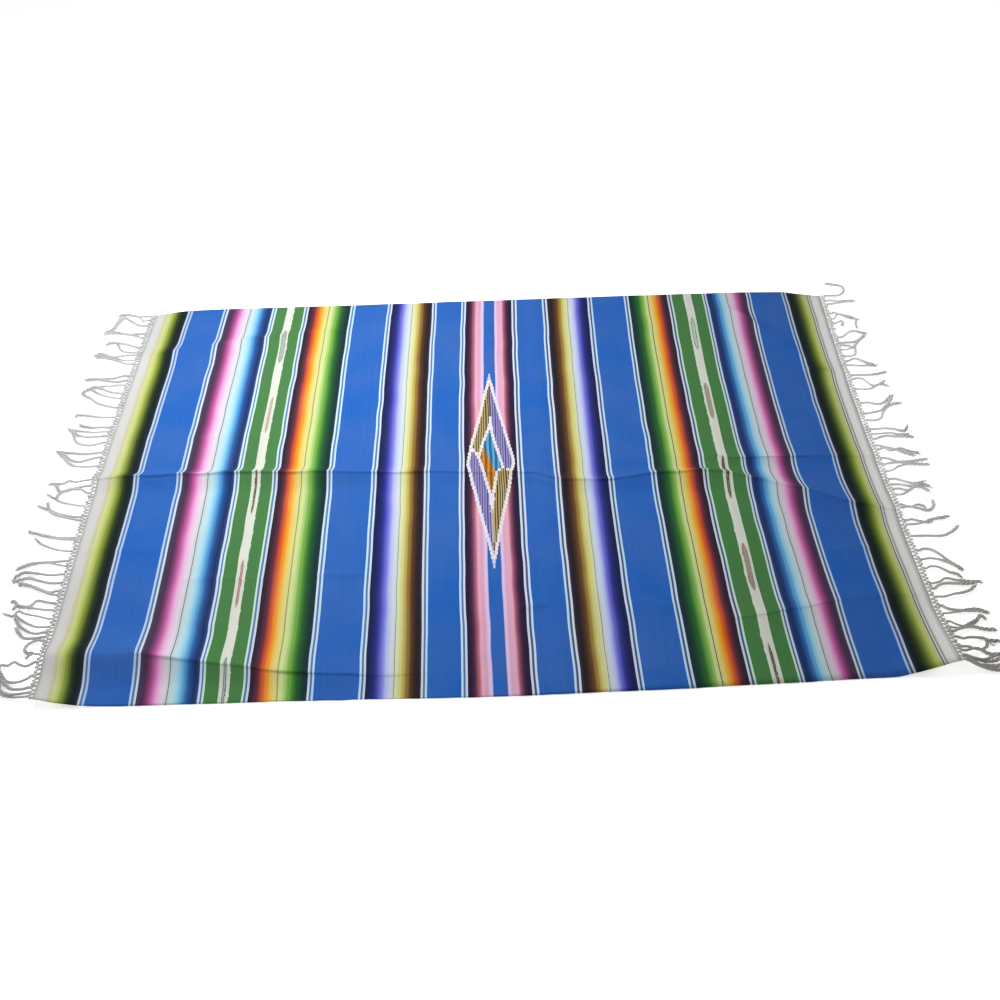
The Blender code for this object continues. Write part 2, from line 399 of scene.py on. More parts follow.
def blended(tree, share, first, second):
    node = tree.nodes.new("ShaderNodeMix")
    node.data_type = "RGBA"
    for socket, value in ((node.inputs[0], share), (node.inputs[6], first), (node.inputs[7], second)):
        join(tree, value, socket)
    return node.outputs[2]


def ramp(tree, share, stops, stepped=False):
    node = tree.nodes.new("ShaderNodeValToRGB")
    node.color_ramp.interpolation = "CONSTANT" if stepped else "LINEAR"
    elements = node.color_ramp.elements
    while len(elements) < len(stops):
        elements.new(1.0)
    for element, (place, colour) in zip(elements, stops):
        element.position = place
        element.color = colour
    join(tree, share, node.inputs[0])
    return node.outputs[0]


def chance(tree, first, second):
    # a random number from 0 to 1 for each pair of whole numbers
    pair = tree.nodes.new("ShaderNodeCombineXYZ")
    join(tree, first, pair.inputs[0])
    join(tree, second, pair.inputs[1])
    node = tree.nodes.new("ShaderNodeTexWhiteNoise")
    node.noise_dimensions = "2D"
    tree.links.new(pair.outputs[0], node.inputs["Vector"])
    return Reading(tree, node.outputs["Value"])


def cloudy(tree, first, second, third=0.0, detail=2.0):
    # soft noise around 0.5 from three stretched places
    spot = tree.nodes.new("ShaderNodeCombineXYZ")
    for socket, value in zip(spot.inputs, (first, second, third)):
        join(tree, value, socket)
    node = tree.nodes.new("ShaderNodeTexNoise")
    node.inputs["Scale"].default_value = 1.0
    node.inputs["Detail"].default_value = detail
    tree.links.new(spot.outputs[0], node.inputs["Vector"])
    return Reading(tree, node.outputs["Fac"])


def newFinish(name, roughness, sheen, specular):
    material = bpy.data.materials.new(name)
    material.use_nodes = True
    shader = material.node_tree.nodes["Principled BSDF"]
    shader.inputs["Roughness"].default_value = roughness
    shader.inputs["Specular IOR Level"].default_value = specular
    shader.inputs["Sheen Weight"].default_value = sheen
    shader.inputs["Sheen Roughness"].default_value = 0.45
    return material, material.node_tree, shader


def raised(tree, height, distance, strength, shader):
    bump = tree.nodes.new("ShaderNodeBump")
    bump.inputs["Distance"].default_value = distance
    bump.inputs["Strength"].default_value = strength
    join(tree, height, bump.inputs["Height"])
    tree.links.new(bump.outputs[0], shader.inputs["Normal"])


def whereWoven(tree, mapName):
    node = tree.nodes.new("ShaderNodeUVMap")
    node.uv_map = mapName
    split = tree.nodes.new("ShaderNodeSeparateXYZ")
    tree.links.new(node.outputs[0], split.inputs[0])
    return Reading(tree, split.outputs[0]), Reading(tree, split.outputs[1])


# the weave: what colour each pick of weft is, counted out from the middle stripe

weave = {
    "pickMm": 1.2,  # one pass of weft
    "warpMm": 3.4,  # one cord of warp
    "shadeJitterMm": 3.4,  # how far neighbouring shades trade picks
    "slateLine": 2.3, "pairEdge": 7.1, "pairReach": 12.0,  # a pair of white lines, from its middle
    "greenFrom": 551.0, "greenTo": 642.0,
    "creamMiddle": 596.8, "creamHalf": 11.6, "creamUneven": 3.4,
    "plainFrom": 971.0,  # the end bands, without a pattern
    "threadMm": 3.1,  # picks of one thickness lie together
    "depthOfDye": 0.76,  # the yarns are a shade deeper than they look under strong light
}

# the pattern is the same on both sides of the middle, but one half is beaten looser than the other
beating = {
    "place": [0, 18, 58, 99, 160, 202, 242, 281, 301, 400, 441, 461, 477, 496, 556, 579, 641, 699,
              717, 755, 793, 873, 954, 974, 990],
    "looser": [1.5, 1.5, 2.5, 1.0, -0.5, -2.5, -2.0, -0.5, -1.5, -0.5, -1.0, -1.0, 2.5, 3.5, 3.5, 0.5,
               -1.0, 0.5, 2.5, 5.0, 6.5, 6.5, 5.5, 6.0, 10.0],
}

yarnBlue = dye(48, 104, 190)
yarnGreen = dye(76, 130, 74)
yarnCream = dye(222, 226, 214)
yarnPlain = dye(214, 214, 212)
yarnPlainRight = dye(248, 250, 247)
slateLeft = dye(94, 124, 172)
slateRight = dye(78, 90, 130)
dashHalo = dye(180, 208, 160)

# shaded groups of stripes: the place of each yarn in mm from the middle, and its dye
roseGroup = [
    (14, 84, 90, 150), (16, 206, 190, 242), (21, 230, 205, 244), (24, 226, 186, 214), (28, 220, 166, 196),
    (32, 232, 172, 198), (38, 240, 176, 198), (42, 196, 124, 146), (46, 150, 84, 108), (50, 104, 54, 80),
    (55, 68, 36, 66), (60, 42, 28, 56), (68, 38, 32, 66),
]
violetGroup = [
    (172, 56, 58, 76), (180, 32, 29, 40), (187, 52, 34, 34), (193, 78, 50, 36), (199, 100, 68, 36),
    (204, 142, 110, 58), (209, 168, 142, 68), (213, 192, 172, 86), (218, 212, 206, 122),
    (223, 216, 218, 150), (229, 218, 224, 178), (235, 206, 214, 210), (240, 212, 222, 238),
    (245, 196, 208, 242), (250, 182, 190, 246), (255, 144, 150, 232), (260, 112, 114, 214),
    (265, 78, 80, 184), (270, 56, 60, 154), (276, 38, 44, 118), (284, 28, 34, 86), (294, 28, 36, 76),
]
sunsetGroup = [
    (416, 38, 58, 74), (424, 24, 50, 54), (431, 24, 64, 50), (438, 34, 84, 50), (444, 46, 104, 48),
    (449, 66, 126, 50), (454, 92, 152, 62), (459, 126, 180, 80), (464, 158, 196, 108), (469, 200, 222, 144),
    (474, 208, 222, 150), (480, 212, 212, 140), (485, 228, 220, 138), (490, 232, 206, 112),
    (496, 240, 180, 66), (502, 238, 148, 50), (508, 226, 108, 44), (512, 200, 84, 52), (516, 162, 68, 62),
    (520, 118, 50, 58), (525, 80, 42, 58), (531, 54, 38, 54), (540, 42, 36, 56),
]
skyGroup = [
    (654, 50, 70, 116), (662, 30, 50, 102), (668, 34, 66, 124), (674, 42, 90, 158), (680, 60, 122, 188),
    (685, 92, 158, 212), (690, 112, 184, 228), (695, 148, 210, 238), (701, 178, 220, 238),
    (707, 198, 224, 232), (713, 206, 216, 220), (719, 216, 216, 222), (724, 228, 214, 230),
    (729, 234, 204, 228), (734, 238, 184, 224), (739, 230, 154, 206), (744, 213, 116, 178),
    (749, 180, 90, 152), (754, 150, 73, 126), (759, 114, 58, 100), (764, 84, 50, 82), (770, 68, 56, 80),
    (779, 74, 68, 98),
]
limeGroup = [
    (900, 46, 58, 74), (906, 26, 38, 46), (913, 22, 32, 32), (920, 36, 50, 30), (926, 62, 80, 34),
    (931, 94, 113, 44), (936, 124, 142, 58), (941, 156, 172, 78), (946, 186, 198, 102),
    (951, 200, 210, 132), (957, 207, 213, 162), (964, 208, 212, 184), (969, 209, 211, 198),
    (973, 208, 209, 204),
]
shadedGroups = [roseGroup, violetGroup, sunsetGroup, skyGroup, limeGroup]

# pairs of white lines: the middle of each, and the tints of its inner and its outer line
whitePairs = [
    (75.5, dye(222, 230, 246), dye(206, 230, 255)),
    (165.5, dye(200, 228, 255), dye(222, 228, 240)),
    (300.3, dye(214, 228, 250), dye(198, 230, 255)),
    (410.3, dye(196, 228, 255), dye(206, 230, 244)),
    (546.5, dye(216, 226, 238), dye(204, 234, 224)),
    (646.3, dye(206, 236, 226), dye(208, 226, 246)),
    (784.9, dye(214, 226, 242), dye(190, 216, 248)),
    (893.3, dye(178, 206, 246), dye(196, 212, 234)),
]

# thin single lines inside the shaded groups: middle, half width, and the dye on the left and on the right
pinLines = [
    (232.4, 1.0, dye(120, 128, 110), dye(94, 98, 84)),
    (478.8, 1.0, dye(160, 158, 96), dye(96, 102, 66)),
    (715.4, 1.0, dye(124, 142, 152), dye(118, 128, 140)),
    (963.4, 1.9, dye(206, 208, 168), dye(226, 226, 232)),
    (960.2, 1.1, dye(200, 188, 134), dye(78, 80, 78)),
    (966.6, 1.1, dye(208, 196, 180), dye(72, 70, 92)),
]

# long woven dashes down the cream stripes
dashes = {
    "firstMm": 582.0, "apartMm": 293.0, "lengthMm": 145.0, "steps": 21.0, "edgeMm": 1.3, "haloMm": 3.0,
    "bendMm": 3.0,
    "leftHalfMm": [6.2, 3.1, 2.6, 3.2, 3.3],
    "rightHalfMm": [5.0, 5.6, 3.6, 5.8, 2.8],
    "leftCore": [dye(150, 166, 160), dye(198, 170, 160), dye(92, 76, 60), dye(188, 120, 142),
                 dye(150, 164, 176)],
    "leftEdge": [dye(122, 124, 136), dye(150, 120, 114), dye(70, 58, 46), dye(150, 96, 116),
                 dye(72, 84, 104)],
    "rightCore": [dye(176, 206, 190), dye(160, 142, 130), dye(84, 66, 54), dye(160, 132, 124),
                  dye(94, 84, 84)],
    "rightEdge": [dye(66, 104, 94), dye(140, 120, 110), dye(66, 50, 42), dye(142, 110, 104),
                  dye(62, 56, 60)],
}

# the stepped diamond, in mm from its own middle
diamond = {
    "middleAcross": 4.0, "halfWide": 63.0, "halfTall": 346.0, "step": 13.6, "outline": 8.0,
    "corner": (32.0, 25.0),  # the inner figure's side corner
    "innerTip": 135.0, "tipTop": 176.0, "barTop": 302.0, "barHalf": 2.6,
    "lineEvery": 6.3, "wideLine": 2.1,
    "farSlant": 0.36, "nearSlant": 1.1,  # how fast the two long zigzags lean out past the corner
    "upperEdge": (0.245, 1.0), "lowerEdge": (0.19, 0.45, 45.0, 15.0), "splitSlant": -0.33,
    "farTip": 26.0, "slitShadowHalf": 1.3,
    "tan": dye(186, 166, 114), "tanDark": dye(62, 46, 30), "lavender": dye(156, 148, 202),
    "lavenderDark": dye(80, 72, 126), "teal": dye(92, 172, 214), "tealDark": dye(46, 104, 148),
    "gold": dye(206, 142, 50), "goldDark": dye(146, 88, 34), "warmWhite": dye(240, 232, 222),
    "coolWhite": dye(232, 230, 248), "barDark": dye(86, 80, 84), "barPale": dye(190, 176, 186),
    # the last dye here is painted shadow, for the slits beside the diamond's two ends
    "tipBlue": dye(168, 196, 246), "slitShadow": dye(74, 72, 104),
}


def nearestPair(tree, place):
    # walks out through the pairs and gives the distance to the nearest, and its tints
    distance, tint = None, None
    for middle, innerTint, outerTint in whitePairs:
        away = place - middle
        inside = away.size().under(weave["pairReach"])
        own = blended(tree, away.over(0.0), innerTint, outerTint)
        distance = away.size() if distance is None else distance.least(away.size())
        tint = own if tint is None else blended(tree, inside, tint, own)
    return distance, tint


def weaveDashes(tree, colour, outward, onRight, acrossMm):
    number = len(dashes["leftHalfMm"])
    turn = (acrossMm * -1.0 + dashes["firstMm"]) / dashes["apartMm"]
    count = turn.floor()
    share = turn.fract() * (dashes["apartMm"] / dashes["lengthMm"])
    stepped = ((share * dashes["steps"]).floor() + 0.5) / dashes["steps"]
    middle = (stepped - 0.5) * 2.0
    bend = (cloudy(tree, acrossMm * 0.02, onRight * 9.0) - 0.5) * dashes["bendMm"]
    place = (count + 0.5) / number

    def picked(side):
        stops = [(index / number, value) for index, value in enumerate(dashes[side])]
        return ramp(tree, place, stops, stepped=True)

    def halfWidth(side):
        # widths go through the ramp as greys, a tenth of their size
        stops = [(index / number, (value / 10,) * 3 + (1,)) for index, value in enumerate(dashes[side])]
        return Reading(tree, ramp(tree, place, stops, stepped=True)) * 10.0

    whole = halfWidth("leftHalfMm") * onRight.inverse() + halfWidth("rightHalfMm") * onRight
    width = middle.size().worked("POWER", 7.0).inverse() * whole
    away = (outward - weave["creamMiddle"] + bend).size()
    within = share.between(0.0, 1.0) * count.between(-0.5, number - 0.5)
    beside = away.under(width + dashes["haloMm"]) * within
    edge = away.under(width) * within
    core = away.under(width - dashes["edgeMm"]) * within
    colour = blended(tree, beside * 0.4, colour, dashHalo)
    colour = blended(tree, edge, colour, blended(tree, onRight, picked("leftEdge"), picked("rightEdge")))
    speckle = chance(tree, (acrossMm / weave["warpMm"]).floor(), (outward / 2.4).floor())
    coreColour = blended(tree, onRight, picked("leftCore"), picked("rightCore"))
    coreColour = blended(tree, speckle * 0.3, coreColour, yarnCream)
    return blended(tree, core, colour, coreColour)


def weaveDiamond(tree, colour, pick, acrossMm):
    d = diamond
    x = pick
    steps = (acrossMm - d["middleAcross"]) / d["step"]
    y = (steps.floor() + 0.5) * d["step"]
    # each step bellies out a little, and closes in where the yarns turn back
    turnBack = (steps.fract() * 2.0 - 1.0).size()
    uneven = chance(tree, steps.floor(), x.over(0.0) + 5.0)
    belly = turnBack.worked("POWER", 3.0) * -1.3 + uneven * 1.2
    edge = (y.size() / d["halfTall"]).inverse() * d["halfWide"] + belly + 1.2
    inside = x.size().under(edge.most(3.0)) * y.size().under(d["halfTall"] + 8.0)
    cornerX, cornerY = d["corner"]
    slope = cornerX / (cornerY + d["innerTip"])
    # the two long zigzags, low on the left and high on the right
    lowLeft = ((y - cornerY) * slope + cornerX).most(0.0) + (y - cornerY).most(0.0) * d["farSlant"]
    lowLeft = lowLeft * -1.0
    highRight = ((y + cornerY) * -slope + cornerX).most(0.0)
    highRight = highRight + (y * -1.0 - cornerY).most(0.0) * d["nearSlant"]
    # the two short edges of the inner figure
    slant, stepOut = d["upperEdge"]
    highLeft = (y - cornerY) * slant - cornerX + stepOut
    slant, extraSlant, turnsAt, stepOut = d["lowerEdge"]
    lowRight = (y + turnsAt) * slant + (y + turnsAt).most(0.0) * extraSlant + stepOut
    outerRight = x.over(highRight)
    outerLeft = x.under(lowLeft)
    inner = x.over(lowLeft.most(highLeft)) * x.under(highRight.least(lowRight))
    inner = inner * y.size().under(d["innerTip"])
    lines = (x / d["lineEvery"]).fract()
    thin = lines.under(0.40)
    wide = (x / (d["lineEvery"] * d["wideLine"]) + 0.3).fract().under(0.55)

    def lined(dark, light, mask):
        return blended(tree, mask, light, dark)

    field = lined(d["tanDark"], d["tan"], thin)
    lavender = lined(d["lavenderDark"], d["lavender"], thin)
    field = blended(tree, outerRight.most(outerLeft), field, lavender)
    split = x.over(y * d["splitSlant"])
    teal = lined(d["tealDark"], d["teal"], wide)
    gold = lined(d["goldDark"], d["gold"], wide)
    field = blended(tree, inner, field, blended(tree, split, gold, teal))
    # white zigzag lines
    half = belly * 0.6 + d["outline"] / 2 - 0.4
    longLeft = (x - lowLeft).size().under(half) * y.between(-d["tipTop"], 90.0)
    longRight = (x - highRight).size().under(half) * y.between(-58.0, d["tipTop"])
    shortLeft = (x - highLeft).size().under(half) * y.between(cornerY - 14.0, d["innerTip"] + 8.0)
    shortRight = (x - lowRight).size().under(half) * y.between(-d["innerTip"] - 8.0, 8.0 - cornerY)
    tipWidth = (y.size() * -1.0 + d["tipTop"]) * 0.11 + 1.6
    tips = x.size().under(tipWidth) * y.size().between(d["innerTip"] - 8.0, d["tipTop"])
    outline = x.size().over(edge - d["outline"])
    zigzag = longLeft.most(longRight).most(shortLeft.most(shortRight)).most(tips).most(outline)
    cool = (x * y).over(0.0)
    jitter = chance(tree, (acrossMm / d["step"]).floor(), (x / 14.0).floor())  # so that no two whites match
    white = blended(tree, cool * 0.75 + jitter * 0.25, d["warmWhite"], d["coolWhite"])
    white = blended(tree, turnBack.over(0.84) * 0.16, white, d["barDark"])
    farTip = y.size().over(d["halfTall"] - d["farTip"])
    white = blended(tree, farTip * 0.55, white, d["tipBlue"])
    field = blended(tree, zigzag, field, white)
    topBar = x.size().under(d["barHalf"]) * y.between(d["tipTop"], d["barTop"])
    lowBar = x.size().under(d["barHalf"]) * y.between(-d["barTop"] + 26.0, -d["tipTop"] + 8.0)
    field = blended(tree, topBar, field, d["barDark"])
    field = blended(tree, lowBar, field, d["barPale"])
    # painted shadow: small dark slits beside the two ends
    slitShadow = (x.size() - edge - 2.0).size().under(d["slitShadowHalf"])
    slitShadow = slitShadow * y.size().between(d["barTop"] - 22.0, d["barTop"] + 6.0)
    colour = blended(tree, slitShadow, colour, d["slitShadow"])
    return blended(tree, inside, colour, field)


def clothFinish():
    material, tree, shader = newFinish("stripedWeft", roughness=0.9, sheen=0.03, specular=0.10)
    along, across = whereWoven(tree, "threads")
    alongMm, acrossMm = along * 1000.0, across * 1000.0
    onRight = alongMm.over(0.0)
    pickNumber = (alongMm / weave["pickMm"]).floor()
    pick = (pickNumber + 0.5) * weave["pickMm"]
    outward = pick.size()
    luck = chance(tree, pickNumber, 3.0)
    traded = outward + (luck - 0.5) * weave["shadeJitterMm"]

    colour = yarnBlue
    for group in shadedGroups:
        first, last = group[0][0], group[-1][0]
        share = (traded - first) / (last - first)
        stops = [((place - first) / (last - first), dye(*shade)) for place, *shade in group]
        shaded = ramp(tree, share, stops)
        colour = blended(tree, outward.between(first, last), colour, shaded)
    green = outward.between(weave["greenFrom"], weave["greenTo"])
    colour = blended(tree, green, colour, yarnGreen)
    creamEdge = (cloudy(tree, acrossMm * 0.045, onRight * 7.0) - 0.5) * weave["creamUneven"]
    cream = (outward - weave["creamMiddle"] + creamEdge).size().under(weave["creamHalf"])
    colour = blended(tree, cream, colour, yarnCream)
    colour = weaveDashes(tree, colour, outward, onRight, acrossMm)
    plain = blended(tree, onRight, yarnPlain, yarnPlainRight)
    colour = blended(tree, outward.over(weave["plainFrom"]), colour, plain)

    for middle, half, leftDye, rightDye in pinLines:
        line = (outward - middle).size().under(half)
        colour = blended(tree, line, colour, blended(tree, onRight, leftDye, rightDye))

    distance, tint = nearestPair(tree, outward)
    slate = blended(tree, onRight, slateLeft, slateRight)
    colour = blended(tree, distance.under(weave["pairEdge"]), colour, tint)
    colour = blended(tree, distance.under(weave["slateLine"]), colour, slate)
    colour = weaveDiamond(tree, colour, pick, acrossMm)

    # no two picks take the dye alike, and each yarn has thick and thin stretches
    slub = cloudy(tree, pickNumber * 0.9, acrossMm * 0.012, 0.0, 3.0)
    patch = cloudy(tree, alongMm * 0.006, acrossMm * 0.006, 4.0, 3.0)
    thickThin = chance(tree, (alongMm / weave["threadMm"]).floor(), 8.0) - 0.5
    shade = (luck - 0.5) * 0.08 + thickThin * 0.05 + (slub - 0.5) * 0.20 + (patch - 0.5) * 0.12 + 1.0
    shade = shade * weave["depthOfDye"]
    tone = tree.nodes.new("ShaderNodeHueSaturation")
    join(tree, shade, tone.inputs["Value"])
    join(tree, (patch - 0.5) * 0.16 + 1.0, tone.inputs["Saturation"])
    join(tree, colour, tone.inputs["Color"])

    # weft beads: each pick humps over a warp cord and dips at the next
    phase = (alongMm / weave["pickMm"]).fract() * math.pi
    hump = phase.worked("SINE")
    stagger = (pickNumber * 0.5).fract() * 2.0
    cord = ((acrossMm / weave["warpMm"] + stagger * 0.5) * math.pi).worked("SINE").size()
    bead = hump * (cord * 0.55 + 0.45)
    # painted shade: the dips between the weft beads are darkened towards near black
    shadeIn = blended(tree, bead.inverse() * 0.14, tone.outputs[0], dye(14, 15, 20))
    tree.links.new(shadeIn, shader.inputs["Base Color"])
    fibre = cloudy(tree, alongMm * 2.2, acrossMm * 0.9, 0.0, 2.0)
    join(tree, (fibre - 0.5) * 0.16 + 0.86, shader.inputs["Roughness"])
    raised(tree, bead + fibre * 0.5, 0.00045, 0.55, shader)
    return material


# the cloth's mesh

def addMap(mesh, name, places):
    layer = mesh.uv_layers.new(name=name)
    layer.data.foreach_set("uv", places.ravel())


def clothFaces(stationsCount, rowsCount):
    # top, underside, then the four rims: near, far, left and right
    cells = stationsCount * rowsCount
    number = np.arange(cells).reshape(stationsCount, rowsCount)
    a, b, c, d = number[:-1, :-1], number[1:, :-1], number[1:, 1:], number[:-1, 1:]
    top = np.stack([a, b, c, d], axis=-1).reshape(-1, 4) + cells
    underside = np.stack([a, d, c, b], axis=-1).reshape(-1, 4)

    def rim(edge, flip):
        lower, upper = edge[:-1], edge[1:]
        quad = [lower, upper, upper + cells, lower + cells]
        return np.stack(quad[::-1] if flip else quad, axis=-1)

    return [top, underside, rim(number[:, 0], False), rim(number[:, -1], True),
            rim(number[0], True), rim(number[-1], False)]


def threadPlaces():
    # the places that the weave reads: along the pattern, and across the cloth
    place = np.array(beating["place"], float)
    looser = np.array(beating["looser"])
    alongOf = np.concatenate([-(place + looser)[::-1], (place - looser)[1:]]) * mm
    patternOf = np.concatenate([-place[::-1], place[1:]]) * mm
    pattern = np.interp(gridAlong, alongOf, patternOf).ravel()
    return np.stack([np.tile(pattern, 2), np.tile(gridAcross.ravel(), 2)], axis=-1)


def bakingPlaces(parts, corners):
    # each half of each face is a long strip of the baking map, so that the stripes come out sharp
    top, underside = len(parts[0]), len(parts[1])
    stationsCount, rowsCount = gridX.shape
    middle = int(np.argmin(np.abs(stations)))
    faceColumn = np.concatenate([np.repeat(np.arange(stationsCount - 1), rowsCount - 1)] * 2
                                + [np.arange(stationsCount - 1)] * 2
                                + [np.zeros(rowsCount - 1, int), np.full(rowsCount - 1, stationsCount - 2)])
    rightHalf = np.repeat(faceColumn >= middle, 4)
    isBottom = np.zeros(len(faceColumn), bool)
    isBottom[top:top + underside] = True
    isBottom = np.repeat(isBottom, 4)
    alongCorner = np.tile(gridAlong.ravel(), 2)[corners]
    acrossCorner = np.tile(gridAcross.ravel(), 2)[corners]
    start = np.where(rightHalf, stations[middle], clothShape["leftEnd"])
    end = np.where(rightHalf, clothShape["rightEnd"], stations[middle])
    margin = clothShape["bakeMargin"]
    u = margin + (1 - 2 * margin) * (alongCorner - start) / (end - start)
    share = (acrossCorner - gridAcross.min()) / (gridAcross.max() - gridAcross.min())
    v = 0.25 * (rightHalf + 2 * isBottom) + margin + (0.25 - 2 * margin) * share
    # the foot of each rim goes just outside its strip
    rimStart = 4 * (top + underside)
    onRimFoot = (corners < gridX.size) & (np.arange(len(corners)) >= rimStart)
    rimKind = np.repeat(np.arange(4), [4 * len(part) for part in parts[2:]])
    rimOut = np.zeros((len(corners), 2))
    rimOut[rimStart:] = np.array([(0, -1), (0, 1), (-1, 0), (1, 0)])[rimKind] * margin / 2
    return np.stack([u + onRimFoot * rimOut[:, 0], v + onRimFoot * rimOut[:, 1]], axis=-1)


def clothMesh():
    under = np.stack([gridX, gridAcross, gridRise], axis=-1).reshape(-1, 3)
    above = under + (0, 0, clothShape["thickness"])
    parts = clothFaces(*gridX.shape)
    faces = np.concatenate(parts)
    corners = faces.ravel()
    mesh = bpy.data.meshes.new("stripedCloth")
    mesh.from_pydata(np.concatenate([under, above]) + np.array(toFrame), [], faces.tolist())
    addMap(mesh, "threads", threadPlaces()[corners])
    addMap(mesh, "OFBake", bakingPlaces(parts, corners))
    mesh.shade_smooth()
    mesh.update()
    return mesh


def addPiece(name, mesh, material, node):
    piece = bpy.data.objects.new(name, mesh)
    mesh.materials.append(material)
    bpy.context.scene.collection.objects.link(piece)
    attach(piece, "root")
    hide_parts(node)
    print(name, len(mesh.polygons), "faces")
    return piece


cloth = addPiece("stripedCloth", clothMesh(), clothFinish(), "cloth")


# cords: tubes and small loops of yarn, gathered into one mesh

class Basket:
    def __init__(self):
        self.points, self.faces, self.places, self.count = [], [], [], 0

    def tube(self, path, radii, sides, offset=0.0):
        # a round tube along a path that lies more or less flat
        path = np.asarray(path, float)
        step = np.gradient(path, axis=0)
        ahead = step / np.linalg.norm(step, axis=1)[:, None]
        sideways = np.cross(ahead, (0, 0, 1.0))
        sideways /= np.maximum(np.linalg.norm(sideways, axis=1), 1e-6)[:, None]
        upward = np.cross(sideways, ahead)
        angle = np.arange(sides) * 2 * np.pi / sides
        ring = np.cos(angle)[None, :, None] * sideways[:, None]
        ring = ring + np.sin(angle)[None, :, None] * upward[:, None]
        body = path[:, None] + ring * np.asarray(radii, float)[:, None, None]
        length = np.concatenate([[0], np.cumsum(np.linalg.norm(np.diff(path, axis=0), axis=1))]) + offset
        turn = np.arange(sides) / sides
        base = self.count
        count = len(path)
        self.points.append(body.reshape(-1, 3))
        self.places.append(np.stack(np.broadcast_arrays(length[:, None], turn[None]), axis=-1).reshape(-1, 2))
        index = base + np.arange(count * sides).reshape(count, sides)
        nextSide = np.roll(index, -1, axis=1)
        quads = np.stack([index[:-1], index[1:], nextSide[1:], nextSide[:-1]], axis=-1).reshape(-1, 4)
        self.faces += quads.tolist()
        self.faces += [index[0].tolist(), index[-1][::-1].tolist()]
        self.count += count * sides

    def ring(self, middle, radius, thickness, tilt, turn):
        # a small loop of yarn pulled tight round the others
        around, through = 9, 5  # sides round the loop and round its yarn
        a = np.arange(around) * 2 * np.pi / around
        b = np.arange(through) * 2 * np.pi / through
        reach = radius + thickness * np.cos(b)[None]
        spots = np.stack(np.broadcast_arrays(
            reach * np.cos(a)[:, None], reach * np.sin(a)[:, None], thickness * np.sin(b)[None]), axis=-1)
        spin = np.array(Matrix.Rotation(turn, 3, "Z") @ Matrix.Rotation(tilt, 3, "X"))
        body = spots.reshape(-1, 3) @ spin.T + middle
        index = self.count + np.arange(around * through).reshape(around, through)
        right, up = np.roll(index, -1, axis=0), np.roll(index, -1, axis=1)
        both = np.roll(right, -1, axis=1)
        self.points.append(body)
        places = np.stack(np.broadcast_arrays(a[:, None] * radius, b[None] / (2 * np.pi)), axis=-1)
        self.places.append(places.reshape(-1, 2))
        self.faces += np.stack([index, right, both, up], axis=-1).reshape(-1, 4).tolist()
        self.count += around * through

    def mesh(self, name):
        mesh = bpy.data.meshes.new(name)
        mesh.from_pydata(np.concatenate(self.points) + np.array(toFrame), [], self.faces)
        corners = np.zeros(len(mesh.loops), int)
        mesh.loops.foreach_get("vertex_index", corners)
        addMap(mesh, "twist", np.concatenate(self.places)[corners])
        mesh.shade_smooth()
        mesh.update()
        return mesh


def curveThrough(points, spacing):
    # a smooth curve through given points, with even steps
    points = np.asarray(points, float)
    padded = np.vstack([2 * points[0] - points[1], points, 2 * points[-1] - points[-2]])
    run = []
    for p0, p1, p2, p3 in zip(padded, padded[1:], padded[2:], padded[3:]):
        t = np.linspace(0, 1, 12, endpoint=False)[:, None]
        run.append(0.5 * (2 * p1 + (p2 - p0) * t + (2 * p0 - 5 * p1 + 4 * p2 - p3) * t ** 2
                          + (3 * p1 - p0 - 3 * p2 + p3) * t ** 3))
    run = np.vstack(run + [points[-1:]])
    length = np.concatenate([[0], np.cumsum(np.linalg.norm(np.diff(run, axis=0), axis=1))])
    even = np.linspace(0, length[-1], max(int(length[-1] / spacing), 4) + 1)
    return np.stack([np.interp(even, length, run[:, axis]) for axis in range(run.shape[1])], axis=-1)


def cordFinish(name, light, dark, grey, nearDark):
    material, tree, shader = newFinish(name, roughness=0.92, sheen=0.22, specular=0.12)
    length, turn = whereWoven(tree, "twist")
    spot = tree.nodes.new("ShaderNodeTexCoord")
    split = tree.nodes.new("ShaderNodeSeparateXYZ")
    tree.links.new(spot.outputs["Object"], split.inputs[0])
    x, y = Reading(tree, split.outputs[0]), Reading(tree, split.outputs[1])
    fibre = cloudy(tree, length * 260.0 + turn * 5.0, turn * 9.0, x * 30.0, 3.0)
    patch = cloudy(tree, x * 22.0, y * 22.0, 1.0, 3.0)
    colour = ramp(tree, fibre * 0.6 + patch * 0.5 - 0.05, [(0.25, dark), (0.62, light)])
    # the yarn is greyer on the left half, and darker towards the near side, more so on the right
    colour = blended(tree, (x * -1.0).over(0.0) * 0.5, colour, grey)
    towardsNear = ((y * -1.0 - 0.1) / 0.6).most(0.0).least(1.0)
    nearShare = towardsNear * x.over(0.0) * 0.45 + towardsNear * 0.35
    colour = blended(tree, nearShare, colour, nearDark)
    tree.links.new(colour, shader.inputs["Base Color"])
    raised(tree, fibre, 0.0006, 0.7, shader)
    return material


# the knotted row: warp ends tied in a net, two knots deep

knotRow = {
    "width": 0.015, "seam": 0.0003, "spacing": 0.0108, "firstKnot": 0.0040, "secondKnot": 0.0112,
    "yarn": 0.00165, "knotRadius": 0.0019, "knotYarn": 0.00165, "seed": 41,
    "warpGap": 0.0024,  # from a knot's middle to the warp ends that it gathers
    "cordRise": 0.0009, "knotRise": 0.0032,
    "firstUneven": 0.0006, "secondUneven": 0.0009,
    "settle": 0.075,  # the ends come down to the ground this far out
}


def endPoint(side, out, across):
    # a point beyond the cloth's end, out from its edge
    end = clothShape["leftEnd" if side < 0 else "rightEnd"]
    row = rowsAcross(end)
    across = np.asarray(across, float)
    edgeRise = np.interp(across, row, clothRise(np.full_like(row, end), row))
    settle = np.clip(1 - np.asarray(out) / knotRow["settle"], 0, 1) ** 1.5
    x = planX(end, np.clip(across, row[0], row[-1])) + side * np.asarray(out)
    return np.stack(np.broadcast_arrays(x, across, edgeRise * settle), axis=-1)


